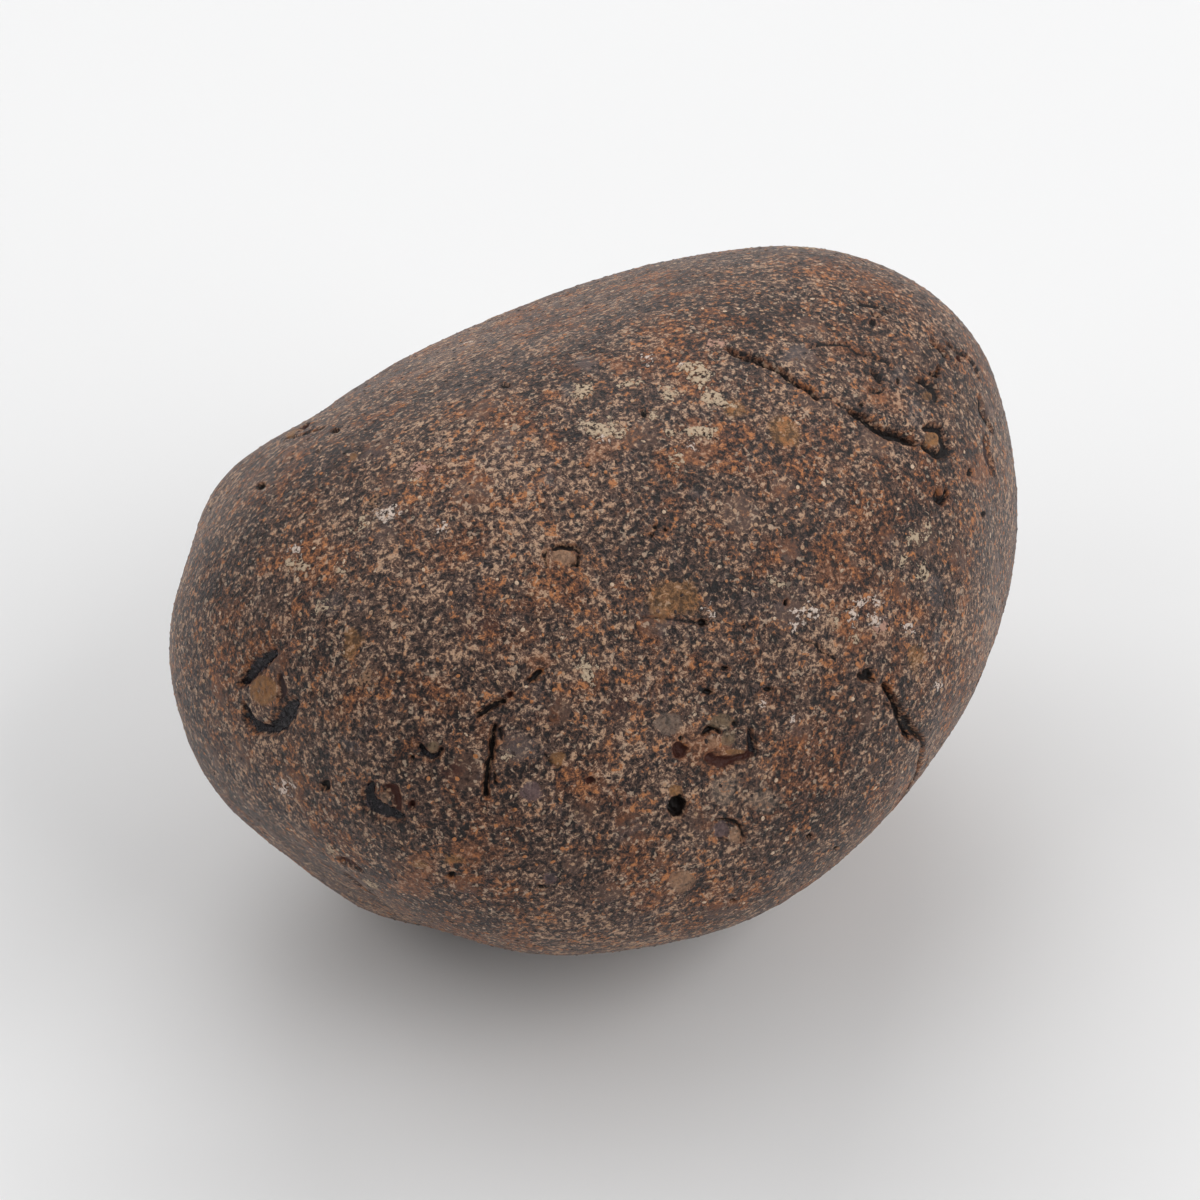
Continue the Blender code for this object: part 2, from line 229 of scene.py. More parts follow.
strokes = (
    # what, depth, then longitude, latitude and width in mm all along it
    ("glass", 0.35, ((176.4, 16.6, 0.22), (177.2, 18.1, 0.45), (178.1, 20.1, 0.57), (179.2, 21.9, 0.51),
                     (180.4, 23.5, 0.30))),
    ("glass", 0.35, ((178.0, 14.5, 0.21), (179.2, 13.2, 0.47), (181.0, 12.8, 0.42), (182.9, 13.5, 0.38),
                     (184.7, 15.7, 0.64), (185.9, 18.0, 0.69), (186.5, 19.6, 0.36))),
    ("shade", 0.20, ((-177.1, 21.5, 0.17), (-176.0, 20.2, 0.34), (-176.0, 19.0, 0.21))),
    ("glass", 0.35, ((-159.2, 14.7, 0.24), (-159.6, 13.2, 0.48), (-159.0, 11.9, 0.71), (-157.7, 11.6, 0.66),
                     (-156.3, 11.6, 0.50), (-154.8, 11.6, 0.32))),
    ("red", 0.25, ((-157.0, 15.1, 0.21), (-156.0, 15.1, 0.40), (-155.5, 14.0, 0.33), (-155.3, 12.5, 0.33))),
    ("glass", 0.30, ((-153.6, 21.5, 0.19), (-153.0, 20.7, 0.35), (-152.0, 20.4, 0.31), (-151.1, 20.9, 0.19),
                     (-150.7, 21.7, 0.11))),
    ("red", 0.25, ((-165.5, -2.2, 0.36), (-163.6, -1.3, 0.51), (-162.6, -1.8, 0.36))),
    ("red", 0.20, ((-166.7, -8.0, 0.36), (-167.3, -12.3, 0.44), (-166.0, -14.2, 0.36))),
    ("crack", 0.30, ((-146.9, 26.7, 0.15), (-146.0, 27.2, 0.22), (-144.9, 28.3, 0.22), (-143.8, 28.9, 0.15))),
    ("crack", 0.25, ((-140.4, 31.8, 0.19), (-139.7, 32.2, 0.26), (-138.9, 33.2, 0.19))),
    ("crack", 0.35, ((-144.4, 25.5, 0.15), (-144.4, 23.2, 0.22), (-144.3, 21.5, 0.15), (-144.6, 20.2, 0.22),
                     (-144.4, 18.5, 0.22), (-144.3, 16.5, 0.22))),
    ("crack", 0.20, ((-143.7, 25.2, 0.11), (-143.2, 23.9, 0.11))),
    ("crack", 0.20, ((-143.7, 19.6, 0.11), (-143.2, 18.2, 0.15))),
    ("crack", 0.15, ((-137.1, 22.2, 0.07), (-136.2, 21.1, 0.11), (-134.8, 20.4, 0.08))),
    ("crack", 0.20, ((-12.7, 48.5, 0.29), (-12.8, 47.3, 0.29), (-13.3, 46.1, 0.22), (-14.7, 44.9, 0.22))),
    ("crack", 0.20, ((-16.1, 47.6, 0.21), (-16.2, 46.8, 0.21))),
    ("crack", 0.40, ((-39.8, 71.8, 0.14), (-42.4, 70.4, 0.23), (-43.5, 69.1, 0.24), (-43.0, 67.7, 0.29),
                     (-44.4, 66.6, 0.29), (-45.0, 65.6, 0.23), (-45.8, 64.3, 0.17), (-46.1, 63.2, 0.28),
                     (-47.6, 62.3, 0.27), (-49.3, 60.8, 0.16), (-49.2, 59.8, 0.22), (-49.6, 58.6, 0.27),
                     (-51.1, 57.4, 0.16))),
    ("crack", 0.12, ((-51.1, 57.4, 0.09), (-48.8, 55.8, 0.11), (-49.7, 54.0, 0.11), (-50.0, 52.2, 0.14))),
    ("crack", 0.45, ((-50.0, 52.2, 0.21), (-49.7, 50.3, 0.33), (-49.9, 48.9, 0.38), (-49.9, 47.0, 0.37),
                     (-49.4, 45.9, 0.38), (-48.2, 44.8, 0.34), (-47.8, 43.6, 0.37), (-47.1, 41.8, 0.21))),
    ("crack", 0.15, ((-32.1, 59.7, 0.10), (-29.8, 57.2, 0.13), (-28.6, 54.7, 0.17), (-28.3, 53.4, 0.20),
                     (-30.3, 52.5, 0.20), (-30.2, 50.4, 0.19), (-30.1, 48.0, 0.17), (-31.3, 47.1, 0.14))),
    ("crack", 0.25, ((-35.0, 49.9, 0.24), (-36.5, 49.0, 0.31))),
    ("crack", 0.15, ((-41.1, 50.3, 0.16), (-40.4, 49.0, 0.14), (-38.4, 48.0, 0.08))),
    ("crack", 0.30, ((-19.7, 38.9, 0.29), (-20.4, 37.8, 0.36), (-21.2, 37.0, 0.36))),
    ("crack", 0.30, ((-28.3, 40.4, 0.15), (-27.5, 39.1, 0.20), (-25.5, 38.9, 0.16))),
    ("crack", 0.35, ((-31.7, 42.7, 0.22), (-31.0, 41.2, 0.38), (-31.4, 40.0, 0.58), (-32.6, 39.4, 0.50),
                     (-34.2, 39.5, 0.20))),
    ("crack", 0.20, ((-18.3, 35.9, 0.18), (-18.7, 34.5, 0.22), (-17.7, 32.1, 0.22), (-18.5, 30.6, 0.29),
                     (-20.4, 29.8, 0.22))),
    ("crack", 0.25, ((-25.1, 29.9, 0.29), (-27.1, 29.6, 0.36), (-27.5, 28.1, 0.36), (-27.5, 26.4, 0.29))),
    ("crack", 0.35, ((-42.4, 40.9, 0.16), (-40.5, 39.7, 0.32), (-39.9, 38.2, 0.44), (-41.5, 37.2, 0.44),
                     (-42.3, 36.2, 0.50), (-44.2, 36.7, 0.31), (-45.6, 38.3, 0.31), (-45.9, 40.1, 0.29))),
    ("shade", 0.25, ((-31.8, 27.7, 0.44), (-33.5, 27.1, 0.51), (-33.4, 25.6, 0.44), (-34.7, 25.2, 0.36))),
    ("crack", 0.30, ((-51.5, 35.2, 0.18), (-52.6, 34.8, 0.33), (-52.3, 33.8, 0.23), (-50.8, 33.6, 0.21),
                     (-49.7, 34.1, 0.13))),
    ("crack", 0.12, ((-92.0, 31.4, 0.08), (-90.5, 30.5, 0.12), (-89.6, 28.9, 0.12), (-87.7, 27.1, 0.08))),
    ("crack", 0.30, ((-84.2, 22.8, 0.19), (-83.2, 21.8, 0.23), (-82.0, 21.0, 0.11))),
    ("crack", 0.45, ((-80.5, 19.4, 0.16), (-79.8, 18.1, 0.21), (-79.2, 15.8, 0.22), (-78.8, 13.8, 0.28),
                     (-78.4, 11.9, 0.27), (-77.6, 9.8, 0.31), (-76.9, 8.1, 0.23))),
    ("crack", 0.35, ((-77.5, 12.0, 0.22), (-76.1, 8.7, 0.25), (-73.9, 6.0, 0.13), (-73.0, 3.5, 0.19),
                     (-72.6, 1.1, 0.29), (-71.3, -2.3, 0.34), (-72.0, -7.0, 0.25), (-73.5, -12.0, 0.12))),
    ("crack", 0.15, ((-81.2, 16.7, 0.12), (-79.9, 15.4, 0.12))),
    ("crack", 0.30, ((-112.9, 22.8, 0.12), (-112.1, 23.2, 0.28), (-111.2, 23.3, 0.23), (-110.3, 22.6, 0.11))),
    ("glass", 0.30, ((-105.2, 21.6, 0.12), (-105.3, 19.7, 0.25), (-105.3, 18.2, 0.33))),
    ("red", 0.30, ((-105.4, 18.0, 0.30), (-107.0, 17.6, 0.29), (-109.1, 17.7, 0.32), (-110.9, 18.0, 0.46),
                   (-112.4, 19.0, 0.34))),
    ("crack", 0.25, ((-112.1, 8.9, 0.09), (-110.6, 8.6, 0.13), (-109.2, 7.8, 0.15), (-108.4, 6.5, 0.15),
                     (-108.0, 4.8, 0.17), (-108.4, 3.8, 0.09))),
    ("crack", 0.15, ((-112.0, 5.8, 0.08), (-110.7, 5.0, 0.10))),
    ("crack", 0.12, ((-118.8, 9.2, 0.08), (-118.6, 8.3, 0.12), (-118.9, 7.4, 0.09))),
    ("crack", 0.10, ((-121.9, 40.8, 0.06), (-118.4, 40.6, 0.08), (-114.7, 39.9, 0.08), (-110.8, 39.0, 0.11))),
    ("crack", 0.25, ((-140.4, 50.3, 0.12), (-138.4, 50.8, 0.20), (-136.0, 50.9, 0.16), (-134.7, 50.1, 0.12))),
    ("crack", 0.25, ((-134.7, 49.5, 0.11), (-134.5, 48.5, 0.15), (-136.3, 48.2, 0.12))),
    ("crack", 0.20, ((-141.7, 49.8, 0.08), (-142.0, 48.8, 0.11), (-141.1, 47.8, 0.08))),
    ("crack", 0.15, ((132.5, 31.4, 0.15), (135.4, 34.4, 0.18), (136.9, 37.6, 0.22), (137.9, 39.6, 0.22))),
    ("crack", 0.08, ((-174.2, 46.6, 0.06), (-171.5, 46.3, 0.08), (-168.5, 45.6, 0.06))),
    # on the sides turned away
    ("crack", 0.40, ((35, 2, 0.14), (42, 5, 0.28), (47, 5, 0.24), (55, 8, 0.30), (61, 9, 0.20), (68, 13, 0.12))),
    ("crack", 0.35, ((118, -2, 0.12), (121, 5, 0.26), (119, 11, 0.20), (123, 17, 0.12))),
)

dabs = (
    # what, tint, longitude, latitude, length, width, turn of the length from due east, depth
    ("pit", "dark", -166.0, 11.4, 0.64, 0.43, 60, 0.25),
    ("pit", "dark", -117.8, 12.6, 1.05, 0.71, 95, 0.50),
    ("pit", "red", -117.0, 21.0, 0.71, 0.62, 100, 0.25),
    ("pit", "dark", -118.4, 25.5, 0.45, 0.24, 70, 0.30),
    ("pit", "red", -153.4, 13.8, 0.35, 0.30, 60, 0.20),
    ("pit", "dark", -154.3, 19.8, 0.23, 0.19, 85, 0.15),
    ("pit", "red", -142.9, 29.7, 0.33, 0.26, 25, 0.20),
    ("pit", "red", -130.5, 18.4, 0.40, 0.37, 120, 0.20),
    ("pit", "dark", -18.9, 48.3, 0.48, 0.34, 145, 0.20),
    ("pit", "dark", -34.4, 46.0, 0.42, 0.22, 0, 0.20),
    ("pit", "dark", -46.2, 51.1, 0.29, 0.19, 175, 0.15),
    ("pit", "red", -20.0, 34.0, 0.70, 0.32, 150, 0.20),
    ("pit", "dark", -44.7, 42.8, 0.30, 0.16, 155, 0.15),
    ("pit", "dark", -41.5, 30.7, 0.60, 0.33, 160, 0.15),
    ("pit", "dark", -43.7, 24.9, 0.52, 0.23, 145, 0.10),
    ("pit", "dark", -109.8, 38.8, 0.35, 0.30, 170, 0.25),
    ("pit", "dark", -93.0, 37.9, 0.27, 0.16, 45, 0.20),
    ("pit", "dark", -107.5, 31.6, 0.32, 0.19, 5, 0.15),
    ("pit", "dark", -100.7, 26.7, 0.42, 0.23, 160, 0.20),
    ("pit", "dark", -111.2, 28.7, 0.44, 0.23, 165, 0.20),
    ("pit", "dark", -107.6, 23.2, 0.25, 0.23, 140, 0.20),
    ("pit", "dark", -82.7, 22.6, 0.64, 0.34, 140, 0.25),
    ("pit", "dark", 150.3, 32.3, 0.88, 0.40, 45, 0.30),
    ("pit", "dark", 143.0, 43.1, 0.70, 0.32, 65, 0.30),
    ("pit", "red", 131.2, 33.8, 1.02, 0.46, 55, 0.30),
    ("pit", "dark", -109.3, 73.2, 0.37, 0.23, 125, 0.15),
    ("pit", "dark", 160.3, 72.2, 0.66, 0.30, 65, 0.20),
    ("pit", "dark", -96.7, 0.1, 0.44, 0.25, 130, 0.20),
    ("pit", "dark", -90.6, -6.7, 0.43, 0.19, 125, 0.15),
    ("pit", "dark", -109.2, -8.1, 0.45, 0.20, 135, 0.20),
    ("pit", "dark", -116.3, 54.0, 0.27, 0.20, 175, 0.15),
    ("pit", "dark", -117.5, 52.8, 0.19, 0.16, 175, 0.15),
    ("pit", "dark", -113.8, 53.5, 0.20, 0.19, 45, 0.15),
    ("pit", "dark", -135.1, 63.9, 0.23, 0.13, 0, 0.12),
    ("pit", "dark", -102.2, 36.7, 0.16, 0.15, 165, 0.10),
    ("pit", "dark", -101.4, 36.6, 0.15, 0.12, 75, 0.10),
    ("pit", "dark", -135.7, 4.1, 0.36, 0.33, 130, 0.20),
    ("pit", "dark", -136.8, 2.7, 0.34, 0.25, 170, 0.15),
    ("pit", "dark", -148.1, 4.3, 0.46, 0.28, 60, 0.20),
    ("pit", "dark", -116.6, 22.8, 0.24, 0.22, 135, 0.15),
    ("pit", "dark", -52.4, 0.3, 0.78, 0.36, 140, 0.15),
    # on the sides turned away
    ("pit", "glass", 28.0, 22.0, 1.90, 1.50, 20, 0.35),
    ("pit", "dark", 64.0, -4.0, 1.25, 0.85, 110, 0.40),
    ("pit", "red", 102.0, 22.0, 1.55, 1.35, 0, 0.30),
    ("pit", "dark", 137.0, -18.0, 1.15, 0.85, 45, 0.40),
    ("pit", "dark", 8.0, -28.0, 1.45, 0.95, 150, 0.40),
    ("pit", "dark", -40.0, -42.0, 1.25, 0.85, 70, 0.35),
    ("grain", "ochre", 28.0, 22.0, 0.95, 0.75, 20, 0.0),
    ("grain", "tan", 102.0, 22.0, 0.85, 0.80, 0, 0.0),
    ("grain", "ochre", -179.0, 18.4, 1.55, 1.15, 45, -0.02),
    ("grain", "tan", -157.1, 13.5, 0.59, 0.35, 70, 0.0),
    ("grain", "olive", -151.9, 21.7, 0.58, 0.45, 65, 0.0),
    ("grain", "ochre", -135.3, 21.6, 0.57, 0.53, 160, 0.0),
    ("grain", "lilac", -138.5, 17.2, 0.83, 0.75, 165, 0.0),
    ("grain", "olive", -109.1, 21.3, 0.63, 0.56, 135, 0.0),
    ("grain", "ochre", -108.5, 19.1, 0.90, 0.23, 165, 0.0),
    ("grain", "olive", -109.6, 24.0, 0.97, 0.57, 165, 0.0),
    ("grain", "lilac", -111.4, 7.0, 0.81, 0.59, 110, 0.08),
    ("grain", "tan", -109.2, 5.5, 0.82, 0.49, 100, 0.0),
    ("grain", "ochre", -118.1, 15.2, 0.58, 0.50, 140, 0.0),
    ("grain", "grey", -118.5, 25.2, 1.10, 0.83, 165, 0.0),
    ("grain", "ochre", -43.1, 39.3, 1.05, 0.61, 160, 0.0),
    ("grain", "tan", -137.8, 49.3, 0.90, 0.63, 175, 0.0),
    ("grain", "ochre", -34.0, 41.0, 0.82, 0.38, 150, 0.0),
    ("grain", "ochre", 161.2, 47.3, 0.67, 0.31, 30, 0.0),
    ("grain", "lilac", -135.7, 4.1, 0.59, 0.49, 100, 0.02),
    ("grain", "tan", -117.6, -0.2, 1.32, 0.94, 125, 0.0),
    ("grain", "tan", -111.7, 21.3, 0.55, 0.40, 85, 0.0),
    ("grain", "ochre", 130.5, 31.0, 1.28, 0.58, 55, 0.0),
    ("crust", "cream", -145.5, 78.6, 0.84, 0.70, 45, -0.03),
    ("crust", "cream", -133.1, 70.9, 1.04, 0.72, 170, -0.04),
    ("crust", "white", -130.2, 69.3, 0.24, 0.19, 90, -0.05),
    ("crust", "cream", -125.9, 72.0, 0.20, 0.15, 90, -0.02),
    ("crust", "cream", -121.4, 70.2, 0.30, 0.24, 175, -0.02),
    ("crust", "cream", -101.8, 68.6, 0.34, 0.23, 155, -0.02),
    ("crust", "cream", -89.7, 66.8, 1.10, 0.45, 160, -0.04),
    ("crust", "cream", -64.5, 74.9, 1.36, 0.75, 110, -0.03),
    ("crust", "white", -63.4, 77.4, 0.35, 0.23, 50, -0.03),
    ("crust", "cream", -73.8, 69.8, 1.08, 0.70, 115, -0.02),
    ("crust", "cream", -89.2, 75.0, 0.63, 0.49, 60, -0.02),
    ("crust", "white", -67.0, 82.9, 0.42, 0.19, 30, -0.02),
    ("crust", "cream", -109.0, 80.1, 0.52, 0.28, 10, -0.02),
    ("crust", "cream", -104.3, 63.8, 0.48, 0.34, 65, -0.03),
    ("crust", "white", -97.6, 65.2, 0.18, 0.15, 50, -0.02),
    ("crust", "cream", -105.6, 72.3, 0.34, 0.24, 155, -0.02),
    ("crust", "pink", -35.5, 72.8, 0.48, 0.32, 60, -0.02),
    ("crust", "pink", -37.9, 74.3, 0.29, 0.24, 35, -0.02),
    ("crust", "white", -177.4, 46.2, 0.74, 0.46, 35, -0.05),
    ("crust", "tan", 177.9, 46.1, 0.52, 0.32, 165, -0.02),
    ("crust", "white", 172.6, 35.0, 0.59, 0.29, 30, -0.03),
    ("crust", "cream", 174.0, 33.2, 0.53, 0.37, 10, -0.03),
    ("crust", "cream", 176.3, 34.3, 0.52, 0.32, 25, -0.03),
    ("crust", "cream", -177.0, 36.9, 0.32, 0.20, 20, -0.02),
    ("crust", "cream", -179.4, 43.4, 0.31, 0.23, 175, -0.02),
    ("crust", "cream", 179.4, 41.6, 0.24, 0.16, 15, -0.02),
    ("crust", "cream", -178.1, 52.1, 0.31, 0.23, 20, -0.02),
    ("crust", "pink", 178.9, 53.9, 0.55, 0.38, 30, -0.02),
    ("crust", "white", -164.8, 48.4, 0.24, 0.21, 175, -0.02),
    ("crust", "white", -173.1, 7.1, 0.89, 0.40, 35, -0.05),
    ("crust", "tan", -163.7, 27.1, 0.63, 0.56, 15, -0.01),
    ("crust", "cream", -175.5, 31.8, 0.37, 0.27, 20, -0.01),
    ("crust", "white", -88.9, 34.9, 0.47, 0.38, 160, -0.03),
    ("crust", "white", -90.9, 35.6, 0.23, 0.21, 65, -0.02),
    ("crust", "white", -81.8, 31.8, 0.46, 0.32, 70, -0.03),
    ("crust", "white", -76.3, 30.9, 0.29, 0.27, 155, -0.03),
    ("crust", "white", -78.3, 32.4, 0.33, 0.23, 155, -0.02),
    ("crust", "white", -78.2, 29.0, 0.43, 0.38, 150, -0.04),
    ("crust", "pink", -77.4, 27.6, 0.40, 0.34, 145, -0.02),
    ("crust", "cream", -85.4, 31.8, 0.22, 0.19, 155, -0.02),
    ("crust", "cream", -82.8, 28.4, 0.28, 0.23, 150, -0.02),
    ("crust", "white", -72.6, 24.4, 0.36, 0.32, 95, -0.02),
    ("crust", "white", -69.3, 13.1, 0.39, 0.19, 140, -0.02),
    # painted highlight: the white dab below is a glint of light off a metal fleck, painted as a pale crust
    ("crust", "white", -102.4, 25.0, 0.26, 0.25, 60, -0.02),
    ("crust", "white", -97.8, 21.2, 0.22, 0.19, 140, -0.02),
    ("crust", "white", -91.9, 36.2, 0.17, 0.15, 165, -0.02),
    ("crust", "white", -93.2, 34.3, 0.17, 0.15, 160, -0.02),
    ("crust", "cream", -93.3, 41.3, 0.42, 0.19, 150, -0.02),
    ("crust", "cream", -58.7, 33.9, 0.37, 0.30, 175, -0.02),
    ("crust", "cream", -62.0, 34.2, 0.61, 0.38, 155, -0.02),
    ("crust", "cream", -64.7, 29.3, 0.66, 0.52, 50, -0.02),
    ("crust", "cream", -67.3, 33.2, 0.31, 0.23, 155, -0.02),
    ("crust", "cream", -161.8, -5.9, 1.10, 0.50, 60, -0.01),
    ("crust", "cream", -166.4, -0.5, 0.80, 0.40, 50, -0.01),
    ("crust", "cream", -131.6, 33.1, 0.83, 0.38, 105, -0.01),
    ("crust", "tan", -165.3, 34.4, 0.42, 0.19, 20, -0.01),
    ("crust", "cream", -142.0, 21.8, 0.37, 0.23, 175, -0.01),
    ("crust", "white", -108.1, 40.1, 0.26, 0.12, 105, -0.01),
    # on the sides turned away
    ("crust", "cream", 15.0, 40.0, 0.90, 0.60, 30, -0.03),
    ("crust", "white", 19.0, 38.0, 0.30, 0.25, 0, -0.03),
    ("crust", "cream", 75.0, 30.0, 0.70, 0.50, 110, -0.03),
    ("crust", "white", 94.0, 48.0, 0.45, 0.35, 60, -0.03),
    ("crust", "cream", 112.0, -6.0, 0.80, 0.45, 20, -0.02),
    ("crust", "white", 48.0, -20.0, 0.40, 0.30, 80, -0.03),
    ("crust", "cream", -20.0, -18.0, 0.70, 0.50, 140, -0.02),
    ("crust", "cream", -95.0, -40.0, 0.60, 0.40, 50, -0.02),
)

patches = (
    # tint, longitude, latitude, length, width, turn, strength
    ("ochre", -114.8, 42.8, 2.01, 1.35, 170, 0.75),
    ("grey", -110.6, 13.2, 1.45, 1.12, 100, 0.80),
    ("grey", -104.5, 9.8, 1.48, 1.14, 125, 0.60),
    ("ochre", -68.2, 58.9, 1.56, 1.27, 15, 0.85),
    ("ochre", -71.9, 66.4, 1.18, 0.99, 35, 0.60),
    ("rust", -153.3, 1.2, 3.42, 1.63, 65, 0.70),
    ("ochre", -152.3, 4.9, 0.75, 0.48, 40, 0.85),
    ("ochre", -147.7, 6.9, 0.83, 0.38, 10, 0.80),
    ("slate", -163.1, 18.6, 1.06, 0.48, 10, 0.80),
    ("red", -149.2, 19.2, 1.20, 0.92, 5, 0.60),
    ("rust", -89.7, 68.6, 0.55, 0.42, 170, 0.90),
    ("slate", -64.1, 26.0, 1.46, 1.14, 60, 0.75),
    ("slate", -67.0, 20.3, 0.94, 0.79, 110, 0.75),
    ("rust", -58.9, 20.6, 1.03, 0.54, 145, 0.80),
    ("ochre", -73.0, 20.3, 1.10, 0.89, 125, 0.75),
    ("rust", -39.1, 29.2, 3.09, 1.40, 160, 0.80),
    ("ochre", -168.0, 30.1, 1.06, 0.72, 120, 0.80),
    ("red", -126.4, 29.1, 1.77, 1.65, 160, 0.50),
    ("slate", 178.1, 85.1, 1.92, 1.25, 60, 0.65),
    ("slate", -159.0, 77.9, 1.40, 0.69, 5, 0.65),
    ("slate", -102.2, 57.8, 1.01, 0.73, 170, 0.60),
    ("slate", -146.1, 60.4, 0.98, 0.87, 0, 0.60),
    ("rust", -108.0, 84.6, 1.21, 1.03, 80, 0.60),
    ("rust", -96.0, 63.1, 2.28, 1.03, 165, 0.50),
    ("rust", -41.0, 48.6, 2.33, 1.84, 90, 0.50),
    ("slate", -32.8, 45.8, 1.38, 0.78, 165, 0.60),
    ("slate", -39.8, 43.0, 1.44, 0.75, 5, 0.60),
    ("rust", -82.2, 27.5, 2.81, 1.53, 140, 0.40),
    ("rust", -113.8, 20.3, 2.83, 1.93, 160, 0.50),
    ("slate", -140.5, 23.1, 2.24, 1.51, 175, 0.45),
    ("red", -150.1, 38.4, 2.17, 0.99, 5, 0.45),
    ("slate", -174.7, 33.2, 2.23, 1.01, 25, 0.45),
    ("rust", -139.2, 34.5, 1.64, 0.74, 175, 0.45),
    ("rust", -81.9, 38.9, 2.60, 1.52, 160, 0.40),
    ("rust", -131.0, 66.8, 1.89, 1.18, 0, 0.50),
    ("slate", -34.8, 61.0, 1.78, 1.08, 135, 0.50),
    ("rust", -30.4, 53.5, 2.02, 1.14, 100, 0.50),
    ("slate", -99.5, -6.3, 2.64, 1.62, 145, 0.40),
    ("rust", -145.7, 8.5, 1.89, 1.35, 10, 0.50),
)

skin = {
    "cuts": 99,  # cuts across each face of the cube that the egg is blown up from
    "finerWithin": (0.30, 0.12),  # mm around every mark inside which the mesh is halved, and halved again
    "strokeStep": 0.12,  # mm between two points along a crack
    "wander": 0.05,  # mm that a crack strays from its course
    "rough": 0.022,  # height of the lumpiness of the skin in mm, and its length
    "roughLength": 0.9,
}


def placeOn(tree, longitude, latitude):
    outward = Vector(toward(longitude, latitude))
    point, normal, _, _ = tree.ray_cast(outward * 2 * form["halfLength"], -outward)
    return point, normal


def strokePoints(tree, path):  # points and widths close together along a crack or a crescent
    points, widths = [], []
    for start, end in zip(path, path[1:]):
        first, last = placeOn(tree, *start[:2])[0], placeOn(tree, *end[:2])[0]
        steps = max(1, round((last - first).length / skin["strokeStep"]))
        for index in range(steps + (end is path[-1])):
            share = index / steps
            lon, lat, width = (a + (b - a) * share for a, b in zip(start, end))
            point = placeOn(tree, lon, lat)[0]
            points.append(point + skin["wander"] * noise.noise_vector(point / 0.35))
            widths.append(width)
    return np.array(points), np.array(widths)


def cubeCut(cuts):
    cube = bmesh.new()
    bmesh.ops.create_cube(cube, size=2)
    bmesh.ops.subdivide_edges(cube, edges=cube.edges[:], cuts=cuts, use_grid_fill=True)
    return cube


def roughSkinTree():
    cube = cubeCut(60)
    for vert, point in zip(cube.verts, blownUp([v.co for v in cube.verts])):
        vert.co = point
    cube.normal_update()
    return BVHTree.FromBMesh(cube)


def finer(cube, spots, reach):  # halves the mesh around the spots
    edges = cube.edges[:]
    middles = blownUp([(edge.verts[0].co + edge.verts[1].co) / 2 for edge in edges])
    tree = KDTree(len(edges))
    for index, middle in enumerate(middles):
        tree.insert(middle, index)
    tree.balance()
    near = {index for point, radius in spots for _, index, _ in tree.find_range(point, radius + reach)}
    bmesh.ops.subdivide_edges(cube, edges=[edges[i] for i in sorted(near)], cuts=1,
                              use_grid_fill=True, use_single_edge=True)


